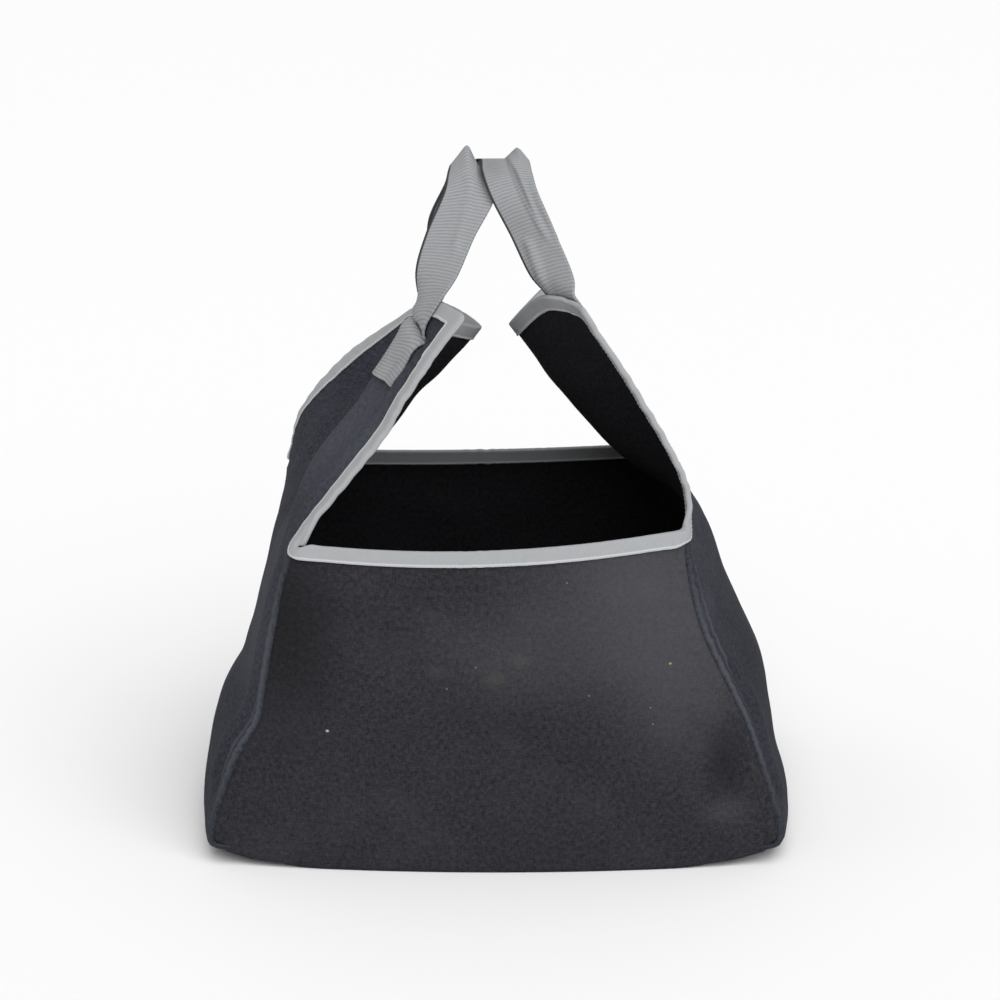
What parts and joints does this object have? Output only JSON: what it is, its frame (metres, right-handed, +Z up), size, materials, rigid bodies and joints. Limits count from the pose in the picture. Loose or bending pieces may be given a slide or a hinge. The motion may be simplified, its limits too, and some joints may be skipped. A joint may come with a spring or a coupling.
{
  "type": "log carrier",
  "caption": "Soft canvas log carrier with open flaps, trapezoid end panels, taped edges and webbing loop handles, for carrying and storing firewood.",
  "frame": {"origin": "centre of the footprint on the ground, at the underside of the base", "axes": "+Z up, +X to the right as seen from the front panel, -Y towards the front panel"},
  "size_m": [0.4686, 0.3437, 0.5292],
  "materials": {
    "canvas": "matte black woven canvas",
    "tape": "grey woven binding tape",
    "webbing": "grey cross-ribbed webbing"
  },
  "bodies": {
    "root": {"main_sheet": "canvas", "front_panel": "canvas", "back_panel": "canvas", "edge_tape": "tape", "handle_left": "webbing", "handle_right": "webbing"}
  },
  "joints": []
}
